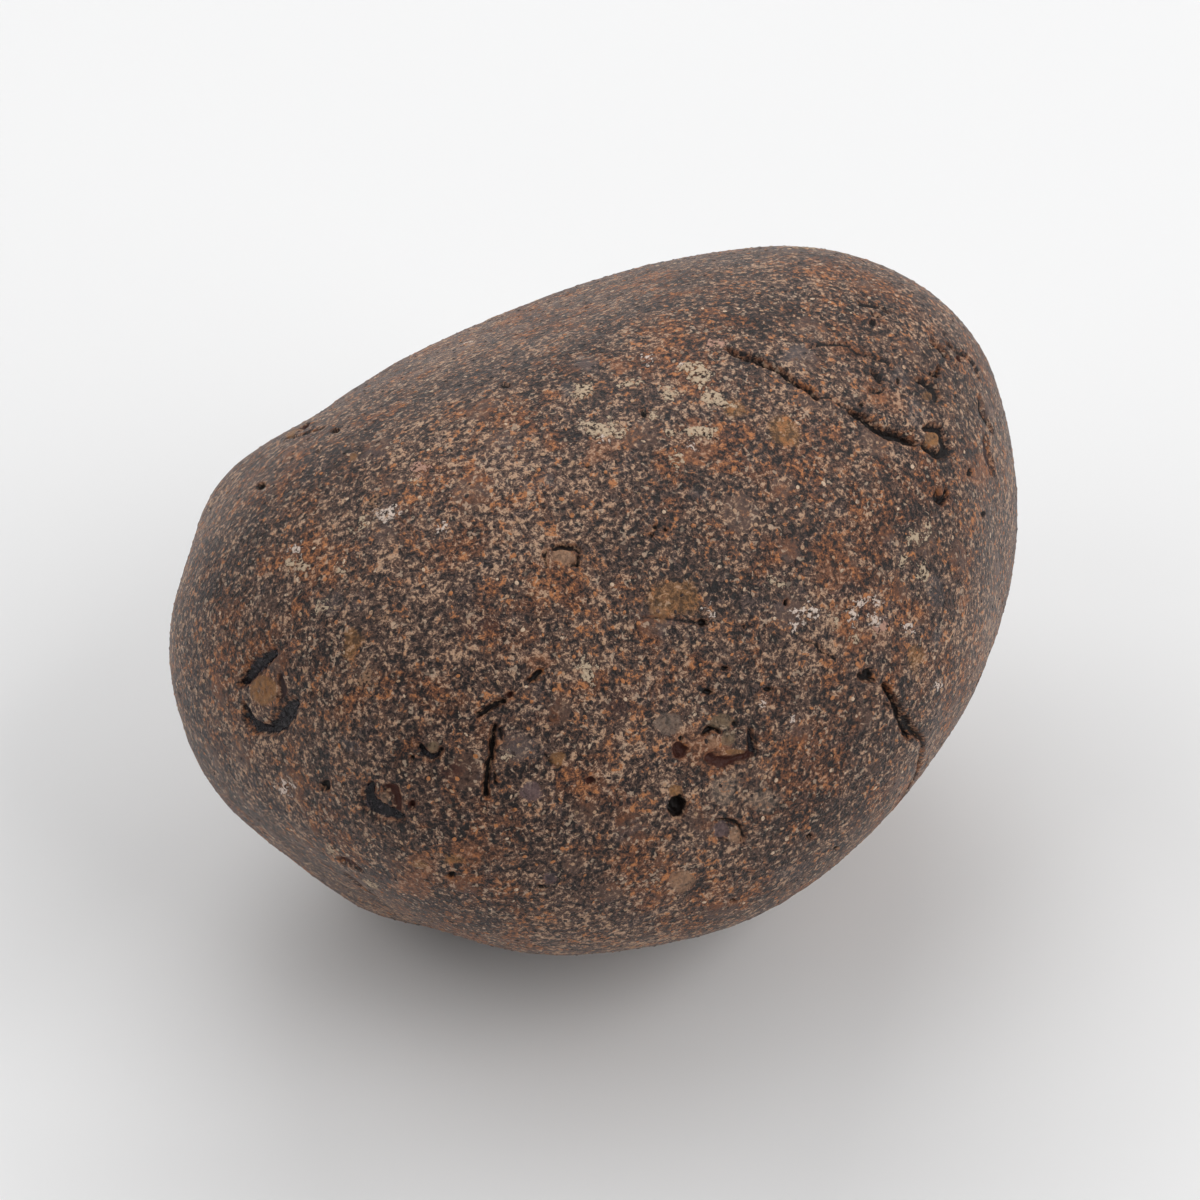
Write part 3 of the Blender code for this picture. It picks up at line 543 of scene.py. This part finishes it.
class Marks:  # what every vertex of the skin knows about the marks around it
    def __init__(self, points):
        self.points = points
        self.height = skin["rough"] * noiseAt(points, skin["roughLength"], 7.3)
        self.height += 0.5 * skin["rough"] * noiseAt(points, skin["roughLength"] / 2.1, 3.1)
        count = len(points)
        self.pitGap = np.full(count, 0.6)  # mm from the nearest rim, below 0 inside a pit or crack
        self.pitTint = np.tile((*tints["dark"], 1.0), (count, 1))
        self.markGap = np.full(count, 0.6)
        self.markTint = np.tile((*tints["tan"], 1.0), (count, 1))
        self.crust = np.zeros(count)
        self.patchTint = np.tile((*tints["rust"], 0.0), (count, 1))

    def near(self, centre, reach):
        return np.flatnonzero(((self.points - centre) ** 2).sum(1) < reach * reach)

    def around(self, tree, longitude, latitude, length, width, turn, reach, ragged):
        # the vertices near a dab, and where each is between its middle, 0, and its rim, 1
        centre, normal = placeOn(tree, longitude, latitude)
        east = Vector((0, 0, 1)).cross(normal).normalized()
        north = normal.cross(east)
        angle = math.radians(turn)
        along = east * math.cos(angle) + north * math.sin(angle)
        across = normal.cross(along)
        near = self.near(np.array(centre), reach + length / 2)
        away = self.points[near] - np.array(centre)
        size = math.sqrt(length * width) / 2
        radius = np.hypot(away @ np.array(along) / (length / 2), away @ np.array(across) / (width / 2))
        radius *= 1 + ragged * noiseAt(self.points[near], size * 1.1, 11.7)
        return near, radius, size

    def pit(self, tree, tint, longitude, latitude, length, width, turn, depth):
        near, radius, size = self.around(tree, longitude, latitude, length, width, turn, 0.7, 0.45)
        gap = (radius - 1) * size
        inside = np.clip((1.12 - radius) / 0.5, 0, 1)
        inside = inside * inside * (3 - 2 * inside)
        floor = 1 + 0.35 * noiseAt(self.points[near], 0.22, 1.3)
        self.height[near] = np.minimum(self.height[near], -depth * inside * floor + 0.02 * (1 - inside))
        self.tintPit(near, gap, tint)

    def tintPit(self, near, gap, tint):
        closer = gap < self.pitGap[near]
        self.pitTint[near[closer]] = (*tints[tint], 1.0)
        self.pitGap[near] = np.minimum(self.pitGap[near], gap)

    def stroke(self, tint, depth, line, widths):
        spare = 0.7
        low, high = line.min(0) - spare, line.max(0) + spare
        near = np.flatnonzero(((self.points > low) & (self.points < high)).all(1))
        here = self.points[near]
        gap = np.full(len(near), 9.0)
        half = np.full(len(near), 0.1)
        for start, end, first, last in zip(line, line[1:], widths, widths[1:]):
            way = end - start
            share = np.clip((here - start) @ way / max(way @ way, 1e-9), 0, 1)
            distance = np.linalg.norm(here - start - share[:, None] * way, axis=1)
            wide = (first + (last - first) * share) / 2
            closer = distance - wide < gap
            gap[closer] = (distance - wide)[closer]
            half[closer] = wide[closer]
        gap += 0.25 * half * noiseAt(here, 0.16, 5.9)
        inside = np.clip(0.5 - 0.5 * gap / half, 0, 1)
        inside = inside * inside * (3 - 2 * inside)
        self.height[near] = np.minimum(self.height[near], -depth * inside + 0.01)
        self.tintPit(near, gap, tint)

    def grain(self, tree, tint, longitude, latitude, length, width, turn, depth):
        near, radius, size = self.around(tree, longitude, latitude, length, width, turn, 0.5, 0.25)
        inside = np.clip((1.05 - radius) / 0.22, 0, 1)
        top = -depth - 0.02 + 0.03 * noiseAt(self.points[near], 0.25, 8.1)
        self.height[near] += (top - self.height[near]) * inside
        self.tintMark(near, (radius - 1) * size, tint, 0.0)

    def crusted(self, tree, tint, longitude, latitude, length, width, turn, depth):
        near, radius, size = self.around(tree, longitude, latitude, length, width, turn, 0.4, 0.9)
        inside = np.clip((1.1 - radius) / 0.3, 0, 1)
        self.height[near] += inside * (-depth + 0.5 * abs(depth) * noiseAt(self.points[near], 0.14, 2.2))
        self.tintMark(near, (radius - 1) * size, tint, 1.0)

    def tintMark(self, near, gap, tint, crust):
        closer = gap < self.markGap[near]
        self.markTint[near[closer]] = (*tints[tint], 1.0)
        self.crust[near[closer]] = crust
        self.markGap[near] = np.minimum(self.markGap[near], gap)

    def patch(self, tree, tint, longitude, latitude, length, width, turn, strength):
        near, radius, _ = self.around(tree, longitude, latitude, length, width, turn, 0.5, 0.6)
        share = strength * np.clip(1.35 - radius, 0, 1)
        stronger = share > self.patchTint[near, 3]
        self.patchTint[near[stronger], :3] = tints[tint]
        self.patchTint[near[stronger], 3] = share[stronger]


def makeSkin():
    tree = roughSkinTree()
    lines = [(tint, depth, *strokePoints(tree, path)) for tint, depth, path in strokes]
    spots = [(point, width / 2) for _, _, line, widths in lines for point, width in zip(line, widths)]
    spots += [(placeOn(tree, lon, lat)[0], (length + width) / 4) for _, _, lon, lat, length, width, _, _ in dabs]
    cube = cubeCut(skin["cuts"])
    for reach in skin["finerWithin"]:
        finer(cube, spots, reach)
    bmesh.ops.triangulate(cube, faces=[face for face in cube.faces if len(face.verts) > 4])
    points = blownUp([vert.co for vert in cube.verts])
    for vert, point in zip(cube.verts, points):
        vert.co = point
    cube.normal_update()
    normals = np.array([vert.normal for vert in cube.verts])
    marks = Marks(points)
    for tint, depth, line, widths in lines:
        marks.stroke(tint, depth, line, widths)
    makers = {"pit": marks.pit, "grain": marks.grain, "crust": marks.crusted}
    for what in makers:
        for dab in dabs:
            if dab[0] == what:
                makers[what](tree, *dab[1:])
    for patch in patches:
        marks.patch(tree, *patch)
    points = points + normals * marks.height[:, None]
    points[:, 2] = np.maximum(points[:, 2], -form["heartHeight"])
    middle = (points.min(0) + points.max(0)) / 2
    middle[2] = -form["heartHeight"]
    cadMiddle = [(low + high) / 2 for low, high in zip(*cadBox)][:2]
    points = (points - middle) * mm + (*cadMiddle, 0)
    for vert, point in zip(cube.verts, points):
        vert.co = point
    mesh = bpy.data.meshes.new("meteorite skin")
    cube.to_mesh(mesh)
    cube.free()
    for name, kind, values in (
        ("pitGap", "FLOAT", marks.pitGap),
        ("pitTint", "FLOAT_COLOR", marks.pitTint),
        ("markGap", "FLOAT", marks.markGap),
        ("markTint", "FLOAT_COLOR", marks.markTint),
        ("crust", "FLOAT", marks.crust),
        ("patchTint", "FLOAT_COLOR", marks.patchTint),
    ):
        attribute = mesh.attributes.new(name, kind, "POINT")
        attribute.data.foreach_set("color" if "COLOR" in kind else "value", values.astype(np.float32).ravel())
    mesh.shade_smooth()
    obj = bpy.data.objects.new("meteorite_skin", mesh)
    bpy.context.scene.collection.objects.link(obj)
    return obj


# scattered small pits and round grains, all over the stone
scatter = {
    "Small Pit Spacing": 3.2 * mm,
    "Small Pit Radius": 0.20 * mm,
    "Small Pit Depth": 0.08 * mm,
    "Round Grain Spacing": 2.0 * mm,
    "Round Grain Radius": 0.75 * mm,
    "Round Grain Height": 0.022 * mm,
    "Seed": 11,
}


def treeInputs(tree, values):  # makes the named inputs, and says which identifier each one has
    names = {"Geometry": tree.interface.new_socket("Geometry", in_out="INPUT", socket_type="NodeSocketGeometry")}
    for name, value in values.items():
        kind = {int: "NodeSocketInt", float: "NodeSocketFloat", tuple: "NodeSocketVector"}[type(value)]
        names[name] = tree.interface.new_socket(name, in_out="INPUT", socket_type=kind)
    names["Material"] = tree.interface.new_socket("Material", in_out="INPUT", socket_type="NodeSocketMaterial")
    tree.interface.new_socket("Geometry", in_out="OUTPUT", socket_type="NodeSocketGeometry")
    return {name: socket.identifier for name, socket in names.items()}


def scattered(ground, spacing, largest, seed):
    # the point of a scatter that is nearest to each vertex: its distance, its size and a random tone
    points = ground.add("GeometryNodeDistributePointsOnFaces", {"distribute_method": "POISSON"},
                        {"Mesh": ground, "Distance Min": spacing, "Density Max": 3e6, "Seed": seed}, "Points")
    size = ground.add("FunctionNodeRandomValue", {"data_type": "FLOAT"},
                      {"Min": 0.35, "Max": 1.0, "Seed": seed + 1}, "Value")
    points = ground.add("GeometryNodeStoreNamedAttribute", {"data_type": "FLOAT", "domain": "POINT"},
                        {"Geometry": points, "Name": "size", "Value": size * largest}, "Geometry")
    tone = ground.add("FunctionNodeRandomValue", {"data_type": "FLOAT"},
                      {"Min": 0.0, "Max": 1.0, "Seed": seed + 2}, "Value")
    points = ground.add("GeometryNodeStoreNamedAttribute", {"data_type": "FLOAT", "domain": "POINT"},
                        {"Geometry": points, "Name": "tone", "Value": tone}, "Geometry")
    nearest = ground.add("GeometryNodeSampleNearest", {"domain": "POINT"}, {"Geometry": points}, "Index")
    here = ground.add("GeometryNodeInputPosition", {}, {})
    there = ground.add("GeometryNodeSampleIndex", {"data_type": "FLOAT_VECTOR", "domain": "POINT"},
                       {"Geometry": points, "Value": here, "Index": nearest}, "Value")
    found = []
    for name in ("size", "tone"):
        value = ground.add("GeometryNodeInputNamedAttribute", {"data_type": "FLOAT"}, {"Name": name}, "Attribute")
        found.append(ground.add("GeometryNodeSampleIndex", {"data_type": "FLOAT", "domain": "POINT"},
                                {"Geometry": points, "Value": value, "Index": nearest}, "Value"))
    apart = ground.add("ShaderNodeVectorMath", {"operation": "DISTANCE"}, {0: here, 1: there}, "Value")
    wobble = here.clouds(1.6 / mm, 1.0)
    return apart * (0.7 + 0.6 * wobble), *found


def makeScatter():
    tree = bpy.data.node_groups.new("scattered pits and round grains", "GeometryNodeTree")
    tree.is_modifier = True
    identifiers = treeInputs(tree, scatter)
    start = Wire(tree)
    given = {name: start.add("NodeGroupInput", {}, {}, name) for name in identifiers}
    ground = given["Geometry"]
    apart, size, _ = scattered(ground, given["Small Pit Spacing"], given["Small Pit Radius"], given["Seed"])
    pitGap = (apart - size) / mm
    pit = 1 - (apart / size).step(0.35, 1.1)
    apart, size, tone = scattered(ground, given["Round Grain Spacing"], given["Round Grain Radius"],
                                  given["Seed"] + 20)
    roundGap = (apart - size) / mm
    dome = 1 - (apart / size).step(0.75, 1.05)
    height = dome * given["Round Grain Height"] * (tone - 0.35) * 2 - pit * given["Small Pit Depth"]
    known = start.add("GeometryNodeInputNamedAttribute", {"data_type": "FLOAT"}, {"Name": "pitGap"}, "Attribute")
    clear = known.step(0.05, 0.4)  # nothing new inside the marks that are already there
    normal = start.add("GeometryNodeInputNormal", {}, {})
    moved = start.add("GeometryNodeSetPosition", {},
                      {"Geometry": ground, "Offset": normal.times(height * clear)}, "Geometry")
    for name, value in (("roundGap", roundGap), ("roundTone", tone), ("smallPit", pit * clear)):
        moved = start.add("GeometryNodeStoreNamedAttribute", {"data_type": "FLOAT", "domain": "POINT"},
                          {"Geometry": moved, "Name": name, "Value": value}, "Geometry")
    real = start.add("GeometryNodeRealizeInstances", {}, {"Geometry": moved}, "Geometry")
    done = start.add("GeometryNodeSetMaterial", {}, {"Geometry": real, "Material": given["Material"]}, "Geometry")
    tree.links.new(done.socket, tree.nodes.new("NodeGroupOutput").inputs[0])
    return tree, identifiers


def applied(obj, tree, identifiers, values, material):  # the object's mesh as the tree leaves it
    modifier = obj.modifiers.new("tree", "NODES")
    modifier.node_group = tree
    for name, value in values.items():
        modifier[identifiers[name]] = value
    modifier[identifiers["Material"]] = material
    graph = bpy.context.evaluated_depsgraph_get()
    mesh = bpy.data.meshes.new_from_object(obj.evaluated_get(graph))
    obj.modifiers.clear()
    return mesh


# the stone's finish
finish = {
    "gritScale": 4.6,  # crumbs, and the curls of pale mineral between them, per mm
    "curlScale": 3.7,
    "curlThin": 14,
    "relief": 0.06 * mm,
    "roughness": 0.5,
}


def attribute(start, name, output):
    return start.add("ShaderNodeAttribute", {"attribute_name": name}, {}, output)


def newTree(name):  # an empty material, its tree, and the place on the stone in mm
    material = bpy.data.materials.new(name)
    material.use_nodes = True
    material.node_tree.nodes.clear()
    start = Wire(material.node_tree)
    return material, start, start.add("ShaderNodeTexCoord", {}, {}, "Object").times(1 / mm)


def between(start, first, second, share):  # two plain colours mixed
    return start.add("ShaderNodeMix", {"data_type": "RGBA", "clamp_factor": True},
                     {"Factor": share, "A": (*seen(*first), 1), "B": (*seen(*second), 1)}, "Result")


def surfaced(material, start, colour, rough, relief, strength):
    bump = start.add("ShaderNodeBump", {}, {"Strength": strength, "Distance": finish["relief"], "Height": relief},
                     "Normal")
    shader = start.add("ShaderNodeBsdfPrincipled", {}, {"Base Color": colour, "Roughness": rough, "Normal": bump,
                        "Specular IOR Level": 0.35}, "BSDF")
    out = material.node_tree.nodes.new("ShaderNodeOutputMaterial")
    material.node_tree.links.new(shader.socket, out.inputs["Surface"])
    return material


def stoneMaterial():
    material, start, spot = newTree("worn brown stone")

    # tone: crumbs and curls, over slower changes
    broad = spot.clouds(0.16, 3.0, 0.6)
    middling = spot.moved(31, 7, 3).clouds(0.9, 4.0, 0.65)
    grit = spot.clouds(finish["gritScale"], 3.0, 0.62, 0.35)
    curl = abs(spot.moved(3, 9, 1).clouds(finish["curlScale"], 2.0, 0.5, 0.7) - 0.5)
    curl = (1 - curl * finish["curlThin"]).most(0.0)
    otherCurl = abs(spot.moved(-8, 2, 6).clouds(finish["curlScale"] * 1.15, 2.0, 0.5, 0.7) - 0.5)
    otherCurl = (1 - otherCurl * finish["curlThin"]).most(0.0)
    tone = (grit - 0.5) * 3.8 + (middling - 0.5) * 1.1 + (broad - 0.5) * 1.0
    tone = tone + curl * 0.42 + otherCurl * 0.34 + 0.19

    # round grains calm the grain, and so do the larger ones that have a place of their own
    roundGap = attribute(start, "roundGap", "Fac")
    roundTone = attribute(start, "roundTone", "Fac")
    disc = 1 - (roundGap + (grit - 0.5) * 0.5).step(-0.06, 0.05)
    calm = disc * roundTone.step(0.55, 0.8) * 0.5
    markGap = attribute(start, "markGap", "Fac")
    crust = attribute(start, "crust", "Fac")
    grainMark = (1 - (markGap + (grit - 0.5) * 0.5).step(-0.05, 0.04)) * (1 - crust)
    calm = calm.most(grainMark * 0.35)
    tone = tone + (0.58 - tone) * calm - disc * (1 - roundTone.step(0.12, 0.3)) * 0.16

    # hue: rust, slate and the listed patches
    rusty = spot.moved(-9, 4, 17).clouds(0.6, 4.0, 0.65, 0.6) * 0.6 + spot.moved(12, -5, 9).clouds(0.22, 2.0) * 0.4
    rusty = rusty.step(0.49, 0.60)
    slaty = spot.moved(5, -13, 8).clouds(0.75, 4.0, 0.65, 0.8).step(0.54, 0.68)
    patch = attribute(start, "patchTint", "Color")
    patchShare = attribute(start, "patchTint", "Alpha")
    patchMask = (patchShare + (middling - 0.5) * 0.9 + (grit - 0.5) * 0.5).step(0.10, 0.60)
    patchMask = patchMask * patchShare.step(0.0, 0.3)
    cells = start.add("ShaderNodeTexVoronoi", {"feature": "F1"},
                      {"Vector": spot, "Scale": 2.4, "Randomness": 1.0}, "Color")
    hue = start.add("ShaderNodeSeparateColor", {}, {"Color": cells}, "Red")
    glow = start.add("ShaderNodeSeparateColor", {}, {"Color": cells}, "Green")
    mid = between(start, (92, 73, 63), (118, 76, 48), rusty * 0.8)
    mid = mid.blend((*seen(86, 80, 82), 1), slaty * 0.45).blend(patch, patchMask * 0.6)
    pale = between(start, (196, 172, 144), (192, 136, 86), (hue + rusty * 0.45 - slaty * 0.3).step(0.60, 0.90))
    base = mid.blend((*seen(20, 13, 12), 1), 1 - tone.step(-0.12, 0.55))
    base = base.blend(pale, tone.step(0.5, 1.15))
    cream = spot.moved(7, 1, 4).clouds(5.2, 1.0, 0.5, 0.5).step(0.58, 0.68) * glow.step(0.55, 0.75)
    base = base.blend((*seen(206, 192, 168), 1), cream * 0.6)
    base = base.blend(patch, patchMask * 0.28)

    # pits and cracks, with rusty lips, and glassy crescents with painted silvery glints of reflected light
    pitGap = attribute(start, "pitGap", "Fac")
    pitTint = attribute(start, "pitTint", "Color")
    pit = 1 - (pitGap + (grit - 0.5) * 0.22).step(-0.05, 0.025)
    lip = (1 - abs(pitGap - 0.05).step(0.0, 0.10)) * (1 - pit)
    base = base.blend((*seen(140, 92, 58), 1), lip * grit.step(0.44, 0.60) * 0.55)
    base = base.blend((*seen(36, 24, 20), 1), attribute(start, "smallPit", "Fac").step(0.25, 0.8) * 0.8)
    blue = start.add("ShaderNodeSeparateColor", {}, {"Color": pitTint}, "Blue")
    red = start.add("ShaderNodeSeparateColor", {}, {"Color": pitTint}, "Red")
    glassy = (blue - red).step(0.0002, 0.001)
    # painted reflection: silvery glints of light painted onto the glassy pits along the curls
    inside = pitTint.blend((*seen(120, 114, 124), 1), otherCurl.step(0.7, 1.0) * glassy * 0.6)
    base = base.blend(inside, pit)

    # larger grains and pale crusts
    tiny = spot.clouds(6.5, 2.0, 0.6)
    markTint = attribute(start, "markTint", "Color")
    base = base.blend(markTint, grainMark * (0.25 + tone * 0.7))
    flake = (1 - (markGap + (grit - 0.5) * 1.2 - 0.04).step(-0.04, 0.03)) * crust
    crumb = tiny.step(0.40, 0.54)
    base = base.blend((*seen(40, 30, 26), 1), flake * (1 - crumb) * 0.6)
    base = base.blend(markTint, flake * crumb * 0.92)

    # shine and fine relief
    rough = finish["roughness"] + (grit - 0.5) * 0.5 - pit * glassy * 0.28 + flake * 0.2
    relief = tone * 0.5 + tiny * 0.25 + flake * crumb * 0.5
    return surfaced(material, start, base, rough, relief, 0.8)


def grainMaterial():
    material, start, spot = newTree("mineral grains")
    tone = attribute(start, "grainTone", "Fac")
    tint = between(start, (38, 27, 25), (100, 78, 64), tone.step(0.30, 0.34))
    for level, colour in ((0.52, (184, 160, 130)), (0.76, (186, 132, 84)), (0.92, (214, 200, 174))):
        tint = tint.blend((*seen(*colour), 1), tone.step(level, level + 0.02))
    blotch = spot.clouds(5.0, 2.0, 0.6)
    tint = tint.blend((*seen(48, 34, 30), 1), (1 - blotch.step(0.38, 0.52)) * 0.65)
    return surfaced(material, start, tint, 0.42 + (blotch - 0.5) * 0.4, blotch, 0.5)


# loose-looking mineral grains, set nearly flush in the skin
minerals = {
    "Grain Spacing": 0.53 * mm,
    "Grain Radius": 0.13 * mm,
    "Least Shape": (0.45, 0.35, 0.13),  # shares of the radius: length, width, height
    "Most Shape": (1.0, 0.8, 0.22),
    "Seed": 5,
}


def makeMinerals():
    tree = bpy.data.node_groups.new("mineral grains", "GeometryNodeTree")
    tree.is_modifier = True
    identifiers = treeInputs(tree, minerals)
    start = Wire(tree)
    given = {name: start.add("NodeGroupInput", {}, {}, name) for name in identifiers}
    gaps = [start.add("GeometryNodeInputNamedAttribute", {"data_type": "FLOAT"}, {"Name": name}, "Attribute")
            for name in ("pitGap", "markGap")]
    clear = (gaps[0] - 0.09).least(gaps[1] - 0.02)  # grains keep off pits, cracks and crusts
    points = start.add("GeometryNodeDistributePointsOnFaces", {"distribute_method": "POISSON"},
                       {"Mesh": given["Geometry"], "Selection": clear, "Distance Min": given["Grain Spacing"],
                        "Density Max": 9e6, "Seed": given["Seed"]}, "Points")
    upright = Wire(tree, points.socket.node.outputs["Rotation"])
    angle = start.add("FunctionNodeRandomValue", {"data_type": "FLOAT"}, {"Min": 0.0, "Max": 6.28}, "Value")
    spin = start.add("FunctionNodeAxisAngleToRotation", {}, {"Axis": (0, 0, 1), "Angle": angle})
    turned = start.add("FunctionNodeRotateRotation", {"rotation_space": "LOCAL"},
                       {"Rotation": upright, "Rotate By": spin})
    shape = start.add("FunctionNodeRandomValue", {"data_type": "FLOAT_VECTOR"},
                      {"Min": given["Least Shape"], "Max": given["Most Shape"], "Seed": 3}, "Value")
    crystal = start.add("GeometryNodeMeshIcoSphere", {}, {"Radius": 1.0, "Subdivisions": 1}, "Mesh")
    grains = start.add("GeometryNodeInstanceOnPoints", {},
                       {"Points": points, "Instance": crystal, "Rotation": turned,
                        "Scale": shape.times(given["Grain Radius"])}, "Instances")
    tone = start.add("FunctionNodeRandomValue", {"data_type": "FLOAT"}, {"Min": 0.0, "Max": 1.0, "Seed": 8}, "Value")
    grains = start.add("GeometryNodeStoreNamedAttribute", {"data_type": "FLOAT", "domain": "INSTANCE"},
                       {"Geometry": grains, "Name": "grainTone", "Value": tone}, "Geometry")
    real = start.add("GeometryNodeRealizeInstances", {}, {"Geometry": grains}, "Geometry")
    done = start.add("GeometryNodeSetMaterial", {}, {"Geometry": real, "Material": given["Material"]}, "Geometry")
    tree.links.new(done.socket, tree.nodes.new("NodeGroupOutput").inputs[0])
    return tree, identifiers


def triangles(obj):
    return sum(len(face.vertices) - 2 for face in obj.data.polygons)


stone = stoneMaterial()
meteorite = makeSkin()
print("skin made")
scatterTree, scatterNames = makeScatter()
meteorite.data = applied(meteorite, scatterTree, scatterNames, scatter, stone)
print("pits and round grains scattered,", triangles(meteorite), "triangles")
grains = bpy.data.objects.new("mineral_grains", meteorite.data.copy())
bpy.context.scene.collection.objects.link(grains)
mineralTree, mineralNames = makeMinerals()
grains.data = applied(grains, mineralTree, mineralNames, minerals, grainMaterial())
print("mineral grains set,", triangles(grains), "triangles")
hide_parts("meteorite")
for piece in (meteorite, grains):
    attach(piece, "root")


# floor, light and camera
studio = {
    "floorSize": 4.0,
    "floorGrey": 0.86,
    "sky": (0.93, 0.95, 1.0, 1.0),
    "skyStrength": 0.070,
    # name, place in m, size in m, watts
    "lamps": (
        ("low back right", (0.683, -0.096, 0.579), 0.60, 2.11),
        ("low back", (0.424, 0.543, 0.579), 0.60, 2.87),
        ("low back left", (-0.258, 0.639, 0.579), 0.60, 1.77),
        ("low front left", (-0.683, 0.096, 0.579), 0.60, 1.64),
        ("low front right", (0.258, -0.639, 0.579), 0.60, 4.01),
        ("high back", (0.19, 0.243, 0.846), 0.60, 0.41),
        ("high left", (-0.243, 0.19, 0.846), 0.60, 0.77),
    ),
}


def makeStudio():
    bpy.ops.mesh.primitive_plane_add(size=studio["floorSize"], location=(0, 0, 0))
    floor = bpy.context.object
    floor.name = "floor"
    material = bpy.data.materials.new("white board")
    material.use_nodes = True
    shader = material.node_tree.nodes["Principled BSDF"]
    shader.inputs["Base Color"].default_value = (studio["floorGrey"],) * 3 + (1,)
    shader.inputs["Roughness"].default_value = 0.6
    shader.inputs["Specular IOR Level"].default_value = 0.2
    floor.data.materials.append(material)
    world = bpy.data.worlds.new("studio")
    world.use_nodes = True
    background = world.node_tree.nodes["Background"]
    background.inputs["Color"].default_value = studio["sky"]
    background.inputs["Strength"].default_value = studio["skyStrength"]
    bpy.context.scene.world = world
    for name, place, size, watts in studio["lamps"]:
        lamp = bpy.data.lights.new(name, "AREA")
        lamp.size = size
        lamp.energy = watts
        obj = bpy.data.objects.new(name, lamp)
        obj.location = place
        obj.rotation_euler = (Vector((0, 0, 0.012)) - obj.location).to_track_quat("-Z", "Y").to_euler()
        bpy.context.scene.collection.objects.link(obj)


view = {
    "azimuth": -38.0,
    "elevation": 40.0,
    "distance": 200 * mm,  # from the stone's heart
    "lens": 148.8,
    "aimRight": -0.323,  # mm that the aim is off the heart, to the right and up in the picture
    "aimUp": 0.927,
}


def makeCamera(heart):
    around, above = math.radians(view["azimuth"]), math.radians(view["elevation"])
    back = Vector((math.sin(around) * math.cos(above), -math.cos(around) * math.cos(above), math.sin(above)))
    right = Vector((math.cos(around), math.sin(around), 0))
    up = back.cross(right)
    data = bpy.data.cameras.new("camera")
    data.lens = view["lens"]
    data.sensor_width = 36
    data.clip_start = 0.01
    camera = bpy.data.objects.new("camera", data)
    camera.location = heart + back * view["distance"] + (right * view["aimRight"] + up * view["aimUp"]) * mm
    camera.rotation_euler = back.to_track_quat("Z", "Y").to_euler()
    bpy.context.scene.collection.objects.link(camera)
    bpy.context.scene.camera = camera


makeStudio()
makeCamera(Vector((-1.32, -0.165, 12.7)) * mm)
bpy.context.scene.view_settings.view_transform = "Standard"
print("studio and camera set")
